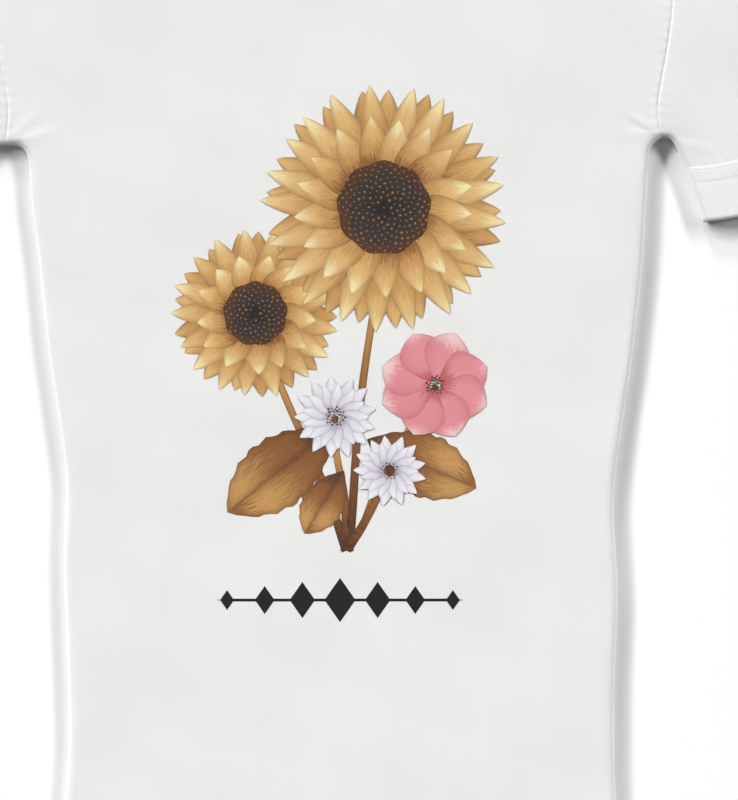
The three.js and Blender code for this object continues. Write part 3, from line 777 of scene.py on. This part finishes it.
def stitch_tree():
    """Geometry nodes that sew a run of stitches along each line that they are given."""
    sizes = [(label, "NodeSocketFloat", value) for label, value in STITCH_SIZES]
    tree, given, out = node_group(
        "row of stitches", "GeometryNodeTree",
        [("Lines", "NodeSocketGeometry", None), *sizes, ("Thread paint", "NodeSocketMaterial", None)],
        [("Stitches", "NodeSocketGeometry")])
    points, bead, sewn, real, paint = (tree.nodes.new(f"GeometryNode{kind}") for kind in (
        "CurveToPoints", "MeshUVSphere", "InstanceOnPoints", "RealizeInstances", "SetMaterial"))
    size = tree.nodes.new("ShaderNodeCombineXYZ")
    points.mode = "LENGTH"
    give(bead, Segments=6, Rings=6, Radius=1.0)
    given = given.outputs
    for source, target in (
            (given["Lines"], points.inputs["Curve"]), (given["Pitch"], points.inputs["Length"]),
            (given["Thread"], size.inputs[0]), (given["Thread"], size.inputs[1]),
            (math_node(tree, "MULTIPLY", given["Length"], 0.5), size.inputs[2]),
            (points.outputs["Points"], sewn.inputs["Points"]),
            (bead.outputs["Mesh"], sewn.inputs["Instance"]),
            (points.outputs["Rotation"], sewn.inputs["Rotation"]),
            (size.outputs[0], sewn.inputs["Scale"]), (sewn.outputs[0], real.inputs[0]),
            (real.outputs[0], paint.inputs["Geometry"]),
            (given["Thread paint"], paint.inputs["Material"]),
            (paint.outputs[0], out.inputs["Stitches"])):
        tree.links.new(source, target)
    return tree


STITCH_TREE = stitch_tree()


def sewn_lines(name, lines):
    """Sews stitches along lines of places in space, and keeps them as one plain mesh."""
    curve = bpy.data.curves.new(name, "CURVE")
    curve.dimensions = "3D"
    for line in lines:
        spline = curve.splines.new("POLY")
        spline.points.add(len(line) - 1)
        spline.points.foreach_set("co", np.concatenate([line, np.ones((len(line), 1))], 1).ravel())
    guide = placed(name + "_guide", curve)
    modifier = guide.modifiers.new("stitches", "NODES")
    modifier.node_group = STITCH_TREE
    sockets = {s.name: s.identifier for s in STITCH_TREE.interface.items_tree if s.in_out == "INPUT"}
    for label, value in (*STITCH_SIZES, ("Thread paint", thread_paint)):
        modifier[sockets[label]] = value
    sewn = guide.evaluated_get(bpy.context.evaluated_depsgraph_get())
    mesh = bpy.data.meshes.new_from_object(sewn)
    bpy.data.objects.remove(guide)
    bpy.data.curves.remove(curve)
    mesh.name = name
    return riding(name, mesh)


THREAD_RISE = 0.12 * MM


def on_top(places, lift):
    """Places raised to the outside of the cloth and a little more."""
    return raised(places, upper_face(places) + lift)


def on_hem(places, *hem):
    """Places raised to the outside of a turned hem."""
    return on_top(places, THREAD_RISE + stitched_hem(places, *hem))


shares = np.linspace(0.012, 0.988, 640)
body_lines = []
for depth in BODY_HEM_ROWS:
    left, right = left_side.at(depth / left_side.length), right_side.at(depth / right_side.length)
    line = left + (right - left) * shares[:, None]
    body_lines.append(on_hem(line, depth, line[:, 0], BODY_HEM_DEPTH, BODY_HEM_ROWS))
body_hem_stitches = sewn_lines("body_hem_stitches", body_lines)

shares = np.concatenate([[0.0], np.linspace(0.04, 0.96, 240), [1.0]])
for name, pattern in patterns.items():
    lines = []
    for depth in SLEEVE_HEM_ROWS:
        line = pattern.band(shares, np.array([1 - depth / SLEEVE_HEM_DEPTH]))[0][1:-1]
        lines.append(on_hem(line, depth, shares[1:-1] * pattern.mouth, SLEEVE_HEM_DEPTH, SLEEVE_HEM_ROWS))
    sewn_lines(f"sleeve_hem_{name}_stitches", lines)

NECK_ROWS = (1.6 * MM, 6.2 * MM)
neck_lines = []
shares = np.linspace(0.02, 0.98, 200)
for below in NECK_ROWS:
    seam = neck_line(FRONT_NECK_DROP)(shares)
    ahead = np.gradient(seam, axis=0)
    outward = paired(ahead[:, 1], -ahead[:, 0]) / np.linalg.norm(ahead, axis=1, keepdims=True)
    neck_lines.append(on_top(seam + outward * below, THREAD_RISE))
neck_stitches = sewn_lines("neck_seam_stitches", neck_lines)

SHOULDER_ROW = 8 * MM
shoulder_lines = []
for tip, neck in ((left_tip, left_neck), (right_tip, right_neck)):
    line = tip + (neck - tip) * np.linspace(0.03, 0.96, 60)[:, None]
    shoulder_lines.append(on_top(line - np.array([0, SHOULDER_ROW]), THREAD_RISE))
shoulder_stitches = sewn_lines("shoulder_stitches", shoulder_lines)

TAPE_ROW = 1.4 * MM
tape_lines = []
for below in (SEAM_ALLOWANCE + TAPE_ROW, SEAM_ALLOWANCE + TAPE_WIDTH - TAPE_ROW):
    line = tape_edge(np.linspace(0.02, 0.98, 80), below)
    tape_lines.append(raised(line, np.full(len(line), JERSEY + TAPE_THICKNESS + TAPE_CROWN)))
tape_stitches = sewn_lines("neck_tape_stitches", tape_lines)

# Flower print
# Ink pressed into the front of the shirt: two big golden flowers with dark middles, a pink one and
# two white ones, on brown stems with leaves. Each petal is its own thin film of ink.
INK_LIFT = 0.07 * MM
INK_LAYER = 0.03 * MM
INK_TILT = 0.010 * MM
BLOOMS = {
    "large": (30, 446, 88, 21), "small": (-60, 372, 60, 17), "pink": (66, 322, 40, 8),
    "white_high": (-4, 300, 30, 13), "white_low": (34, 262, 26, 13),
}
STEM_FOOT = (4, 206)
STEM_WIDTH = 6 * MM
LEAVES = [(-4, 292, 96, 40, 218), (18, 284, 84, 36, 336), (2, 262, 52, 24, 238)]
draw = random.Random(11)


class Ink:
    """Films of ink, gathered patch by patch into one mesh."""

    def __init__(self):
        self.points, self.faces, self.uv, self.tints, self.cloth = [], [], [], [], []

    def lay(self, places, layer, tint, tilt=0.0):
        """Lays one patch, facing up."""
        rows, columns = places.shape[:2]
        r, c = rows // 2, columns // 2
        across, ahead = places[r, c] - places[r, c - 1], places[r + 1, c] - places[r, c]
        turned = across[0] * ahead[1] < across[1] * ahead[0]
        side = np.linspace(-1, 1, columns)[None] * np.ones((rows, 1))
        heights = upper_face(places) + INK_LIFT + INK_LAYER * layer + tilt * side
        start = len(self.points)
        self.points.extend(raised(places, heights).reshape(-1, 3).tolist())
        faces = grid_faces(rows, columns, turned=turned)
        self.faces.extend([tuple(start + k for k in face) for face in faces])
        along = np.linspace(0, 1, rows)[:, None] * np.ones((1, columns))
        self.uv.extend(paired(along, side).reshape(-1, 2).tolist())
        self.cloth.extend(places.reshape(-1, 2).tolist())
        self.tints.extend([tint] * (rows * columns))

    def print(self, name, material, replaced):
        """Makes one piece of all the patches laid so far."""
        piece = mesh_of(name, self.points, self.faces, material)
        name_uv(piece, self.cloth)
        name_uv(piece, self.uv, "ink")
        tint = piece.data.attributes.new("tint", "FLOAT", "POINT")
        tint.data.foreach_set("value", np.asarray(self.tints, dtype=np.float32))
        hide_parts(replaced)
        return piece


def set_out(centre, heading, ahead, aside):
    """Places by how far they lie from a centre, ahead along a heading and aside of it."""
    c, k = math.cos(heading), math.sin(heading)
    return paired(centre[0] + ahead * c - aside * k, centre[1] + ahead * k + aside * c)


def petal(centre, heading, start, length, width, bend=0.0, shape=0.75, blunt=0.8,
          rows=14, columns=7):
    """A petal's places, root to tip, with its width swelling and closing to the tip."""
    s = np.linspace(0, 1, rows)[:, None]
    t = np.linspace(-1, 1, columns)[None]
    swell = np.sin(math.pi * np.clip(0.08 + 0.92 * s, 0, 1) ** shape) ** blunt
    ahead = start + s * length * np.ones_like(t)
    aside = t * swell * width / 2 + bend * length * s * s
    return set_out(centre, heading, ahead, aside)


HEADING_SPREAD = 0.05


def ring_of_petals(ink, bloom, reach, width, layer, offset=0.0, start=0.3, count=None, shape=0.75):
    """One ring of a flower's petals, each a little out of line and short of its full length."""
    x, y, radius, petals = BLOOMS[bloom]
    centre = on_shirt(x, y)
    count = count or petals
    for i in range(count):
        heading = 2 * math.pi * (i + offset + 0.5) / count + draw.uniform(-HEADING_SPREAD, HEADING_SPREAD)
        length = radius * MM * (reach * draw.uniform(0.95, 1.0) - start)
        pitch = 2 * math.pi * radius * MM * 0.7 / count
        ink.lay(petal(centre, heading, start * radius * MM, length, width * pitch,
                      draw.uniform(-0.04, 0.04), shape), layer, draw.random(), INK_TILT)


def disc(ink, bloom, reach, layer, tint=0.5):
    """The round middle of a flower."""
    x, y, radius = BLOOMS[bloom][:3]
    r = np.linspace(0.02, 1, 9)[:, None] * reach * radius * MM
    turn = np.linspace(0, 2 * math.pi, 41)[None]
    wobble = 1 + 0.03 * np.sin(turn * 9)
    r = r * wobble
    ink.lay(set_out(on_shirt(x, y), 0, r * np.cos(turn), r * np.sin(turn)), layer, tint)


def seeds(ink, bloom, inner, outer, count, size, layer):
    """Small dots in the order in which a flower sets its seeds."""
    x, y, radius = BLOOMS[bloom][:3]
    centre = on_shirt(x, y)
    for i in range(count):
        share = math.sqrt(inner**2 + (outer**2 - inner**2) * (i + 0.5) / count)
        turn = i * math.pi * (3 - math.sqrt(5))
        place = centre + share * radius * MM * np.array([math.cos(turn), math.sin(turn)])
        dot = size * MM * draw.uniform(0.7, 1.2)
        ink.lay(petal(place, turn, -dot, 2 * dot, 1.5 * dot, 0, 1.0, 0.6, 5, 3), layer, draw.random())


def in_the_knit(tree, colour, worn_from, worn_share, bare, roughness):
    """Finishes an ink that has sunk into the knit and is worn on the tops of its loops."""
    height = knit_over(tree, uv_of(tree))["Height"]
    worn = math_node(tree, "MULTIPLY", math_node(tree, "GREATER_THAN", height, worn_from), worn_share)
    finished(tree, blended(tree, worn, colour, bare), bump(tree, height, 0.04 * MM),
             Roughness=roughness, Specular_IOR_Level=0.3)


def ink_material(name, stops, edge, streak=(2.5, 16.0), streak_depth=0.55, edge_share=0.6):
    """Painted ink: a run of colours from root to tip, streaked along, with a darker edge."""
    material, tree = new_material(name)
    split = tree.nodes.new("ShaderNodeSeparateXYZ")
    tree.links.new(uv_of(tree, "ink"), split.inputs[0])
    tint = tree.nodes.new("ShaderNodeAttribute")
    tint.attribute_name = "tint"
    stretch = tree.nodes.new("ShaderNodeCombineXYZ")
    tree.links.new(math_node(tree, "MULTIPLY", split.outputs[0], streak[0]), stretch.inputs[0])
    tree.links.new(math_node(tree, "MULTIPLY", split.outputs[1], streak[1] / 4), stretch.inputs[1])
    tree.links.new(math_node(tree, "MULTIPLY", tint.outputs["Fac"], 40.0), stretch.inputs[2])
    brush = texture(tree, "Noise", stretch.outputs[0], Scale=2.2, Detail=5.0, Roughness=0.62)
    swing = math_node(tree, "SUBTRACT", brush.outputs[0], 0.5)
    swing = math_node(tree, "MULTIPLY", swing, streak_depth)
    lean = math_node(tree, "MULTIPLY", math_node(tree, "SUBTRACT", tint.outputs["Fac"], 0.5), 0.22)
    where = math_node(tree, "ADD", split.outputs[0], math_node(tree, "ADD", swing, lean))
    ramp = tree.nodes.new("ShaderNodeValToRGB")
    ramp.color_ramp.interpolation = "EASE"
    while len(ramp.color_ramp.elements) < len(stops):
        ramp.color_ramp.elements.new(0.5)
    for element, (position, colour) in zip(ramp.color_ramp.elements, stops):
        element.position = position
        element.color = (*colour, 1.0)
    tree.links.new(where, ramp.inputs[0])
    aside = math_node(tree, "ABSOLUTE", split.outputs[1])
    rim = math_node(tree, "POWER", aside, 3.0)
    unevenness = math_node(tree, "MULTIPLY_ADD", brush.outputs[0], 0.8, edge_share - 0.4)
    rim = math_node(tree, "MULTIPLY", rim, unevenness)
    colour = blended(tree, rim, ramp.outputs[0], edge)
    in_the_knit(tree, colour, 0.72, 0.10, (0.8, 0.8, 0.79), 0.68)
    return material


BLACK = (0.010, 0.009, 0.009)
CHARCOAL = (0.028, 0.025, 0.026)
UMBER = (0.085, 0.032, 0.011)
BROWN = (0.27, 0.105, 0.028)
TAN = (0.56, 0.30, 0.095)
GOLD = (0.70, 0.44, 0.17)
CREAM = (0.88, 0.74, 0.40)
PINK = (0.74, 0.27, 0.30)
ROSE = (0.50, 0.11, 0.12)
BLUSH = (0.86, 0.60, 0.60)
LILAC = (0.42, 0.39, 0.47)
PALE = (0.72, 0.69, 0.76)
CHALK = (0.86, 0.85, 0.87)
gold_ink = ink_material(
    "golden ink", [(0.0, UMBER), (0.16, BROWN), (0.42, TAN), (0.68, GOLD), (1.0, CREAM)], BROWN)
tan_ink = ink_material("tan ink", [(0.0, UMBER), (0.3, BROWN), (0.7, TAN), (1.0, GOLD)], UMBER)
pink_ink = ink_material(
    "pink ink", [(0.0, ROSE), (0.25, PINK), (0.7, PINK), (1.0, BLUSH)], ROSE, edge_share=0.5)
white_ink = ink_material(
    "white ink", [(0.0, LILAC), (0.35, PALE), (1.0, CHALK)], LILAC, edge_share=0.8)
leaf_ink = ink_material(
    "leaf ink", [(0.0, UMBER), (0.4, BROWN), (0.8, TAN), (1.0, BROWN)], UMBER, (3.5, 22.0), 0.8)
dark_ink = ink_material(
    "dark ink", [(0.0, BLACK), (0.6, CHARCOAL), (1.0, UMBER)], BLACK, (3.0, 3.0), 0.6, 0.3)
seed_ink = ink_material(
    "seed ink", [(0.0, CHARCOAL), (0.45, UMBER), (0.7, BROWN), (1.0, TAN)], BLACK, (2.0, 2.0),
    0.2, 0.4)

stems = Ink()
foot = on_shirt(*STEM_FOOT)
STEM_SWAY = 1.6 * MM
for x, y, radius, petal_count in BLOOMS.values():
    top = on_shirt(x, y)
    run = top - foot
    side = np.array([-run[1], run[0]]) / np.linalg.norm(run)
    s = np.linspace(0, 1, 30)[:, None, None]
    t = np.linspace(-1, 1, 5)[None, :, None]
    sway = STEM_SWAY * np.sin(s * 7 + x)
    stems.lay(foot + run * s + side * (t * STEM_WIDTH / 2 * (1.05 - 0.3 * s) + sway), 0, draw.random())
stem_print = stems.print("print_stems", leaf_ink, "print_picture")

leaves = Ink()
for k, (x, y, length, width, turn) in enumerate(LEAVES):
    heading = math.radians(turn)
    for half in (-1, 1):  # the leaf's two sides of its middle rib
        s = np.linspace(0, 1, 26)[:, None]
        t = np.linspace(0, 1, 7)[None]
        swell = 4 * s * (1 - s) ** 0.85 * 0.55
        teeth = 1 + 0.05 * np.sin(s * 46) * t
        aside = half * t * swell * width * MM * teeth
        ahead = s * length * MM * np.ones_like(t)
        leaves.lay(set_out(on_shirt(x, y), heading, ahead, aside), 1 + k, 0.25 + 0.5 * (half > 0))
leaf_print = leaves.print("print_leaves", leaf_ink, "print_picture")


def printed(name, material, *parts):
    """Prints a piece of the picture from its parts, each with what lays it and what that takes."""
    ink = Ink()
    for lay, *given in parts:
        lay(ink, *given)
    return ink.print(f"print_{name}", material, "print_picture")


back_petal_print = printed(
    "back_petals", tan_ink, (ring_of_petals, "small", 0.98, 1.35, 5, 0.5),
    (ring_of_petals, "large", 0.98, 1.35, 8, 0.5))
petal_print = printed(
    "petals", gold_ink, (ring_of_petals, "small", 1.0, 1.15, 6),
    (ring_of_petals, "small", 0.72, 1.0, 7, 0.3, 0.26, 13), (ring_of_petals, "large", 1.0, 1.15, 9),
    (ring_of_petals, "large", 0.74, 1.0, 10, 0.3, 0.26, 17))
middle_print = printed("middles", dark_ink, (disc, "small", 0.37, 8), (disc, "large", 0.37, 11))
dot_print = printed(
    "seeds", seed_ink, (seeds, "small", 0.05, 0.36, 130, 1.15, 9),
    (seeds, "large", 0.05, 0.36, 210, 1.35, 12), (seeds, "pink", 0.0, 0.17, 34, 0.9, 16),
    (seeds, "white_high", 0.0, 0.24, 36, 0.85, 18), (seeds, "white_low", 0.0, 0.24, 32, 0.75, 20))
pink_print = printed(
    "pink_petals", pink_ink, (ring_of_petals, "pink", 1.0, 1.5, 13, 0.0, 0.1, None, 1.25))
white_print = printed(
    "white_petals", white_ink, (ring_of_petals, "white_high", 1.0, 1.2, 14, 0.0, 0.18),
    (ring_of_petals, "white_high", 0.8, 1.0, 15, 0.5, 0.15),
    (ring_of_petals, "white_low", 1.0, 1.2, 17, 0.0, 0.18),
    (ring_of_petals, "white_low", 0.8, 1.0, 18, 0.5, 0.15))

# Ornamental rule
# One plain black line of ink below the flowers, strung with seven diamonds.
RULE = (-0.7, 171.5)
RULE_WIDTH = 172 * MM
RULE_BAR = 2 * MM
DIAMONDS = 7
DIAMOND = 15.5 * MM
black_ink, tree = new_material("black ink")
in_the_knit(tree, (0.009, 0.009, 0.010), 0.74, 0.05, (0.4, 0.4, 0.4), 0.62)

rule = Ink()
centre = on_shirt(*RULE)
s = np.linspace(-1, 1, 90)[:, None]
t = np.linspace(-1, 1, 3)[None]
bar = RULE_BAR / 2 * np.clip((1 - np.abs(s)) * 14, 0.15, 1)
rule.lay(paired(centre[0] + s * RULE_WIDTH / 2, centre[1] + t * bar), 0, 0.5)
middle = (DIAMONDS - 1) / 2
for i in range(DIAMONDS):
    size = DIAMOND * (1 - 0.55 * abs(i - middle) / middle)
    x = centre[0] + (i - middle) * (RULE_WIDTH - 2 * DIAMOND * 0.45) / (2 * middle)
    a = np.linspace(-1, 1, 7)[:, None]
    b = np.linspace(-1, 1, 7)[None]
    rule.lay(paired(x + (a + b) / 2 * size * 0.7, centre[1] + (a - b) / 2 * size), 1, 0.5)
rule_print = rule.print("print_rule_ink", black_ink, "print_rule")

# Floor, light and camera
# The shirt lies on a white table top and is seen from straight above, cropped as in the picture.
PIXEL = 0.7 * MM
IMAGE = (738, 800)
CENTRE_PIXEL = (369, 400)
AXIS_PIXEL = 341
HEM_PIXEL = 845
VIEW_DISTANCE = 3.0
table_mesh = bpy.data.meshes.new("table")
SPAN = 6.0
TABLE_TOP = -0.3 * MM
corners = [(x * SPAN, y * SPAN, TABLE_TOP) for x, y in ((-1, -1), (1, -1), (1, 1), (-1, 1))]
table_mesh.from_pydata(corners, [], [(0, 1, 2, 3)])
table = placed("table", table_mesh)
table_paint, tree = new_material("table white")
grain = texture(tree, "Noise", object_place(tree), Scale=3.0)
finished(tree, blended(tree, grain.outputs[0], (0.945, 0.945, 0.945), (0.955, 0.955, 0.955)), None,
         Roughness=0.9, Specular_IOR_Level=0.1)
table_mesh.materials.append(table_paint)


def lamp(name, direction, strength, spread):
    """A far lamp, as the way that its light comes from, its strength and its width in degrees."""
    data = bpy.data.lights.new(name, "SUN")
    data.energy = strength
    data.angle = math.radians(spread)
    placed(name, data).rotation_euler = Vector(direction).to_track_quat("Z", "Y").to_euler()


# Each window's turn from north, its height, both in degrees, and its strength
WINDOWS = ((74, 29, 1.09), (58, 28, 1.09), (42, 28, 1.09), (16, 20, 1.10), (-40, 28, 0.77),
           (-58, 30, 0.77), (-74, 31, 0.77))
WINDOW_WIDTH = 9
for turn, height, strength in WINDOWS:
    turned, raised = math.radians(turn), math.radians(height)
    heading = (-math.sin(turned) * math.cos(raised), math.cos(turned) * math.cos(raised))
    lamp(f"window_{turn}", (*heading, math.sin(raised)), strength, WINDOW_WIDTH)
world = bpy.data.worlds.new("room")
world.use_nodes = True
give(world.node_tree.nodes["Background"], Color=(1, 1, 1, 1), Strength=0.07)
bpy.context.scene.world = world
bpy.context.scene.view_settings.view_transform = "Standard"

camera_data = bpy.data.cameras.new("camera")
camera = placed("camera", camera_data)
camera.location = (
    (CENTRE_PIXEL[0] - AXIS_PIXEL) * PIXEL, (HEM_PIXEL - CENTRE_PIXEL[1]) * PIXEL - HALF_LENGTH,
    LOFT + VIEW_DISTANCE)
camera.rotation_euler = (0, 0, 0)
camera_data.sensor_width = 36
camera_data.sensor_fit = "AUTO"
camera_data.lens = 36 * VIEW_DISTANCE / (IMAGE[1] * PIXEL)
camera_data.clip_end = 20
bpy.context.scene.camera = camera
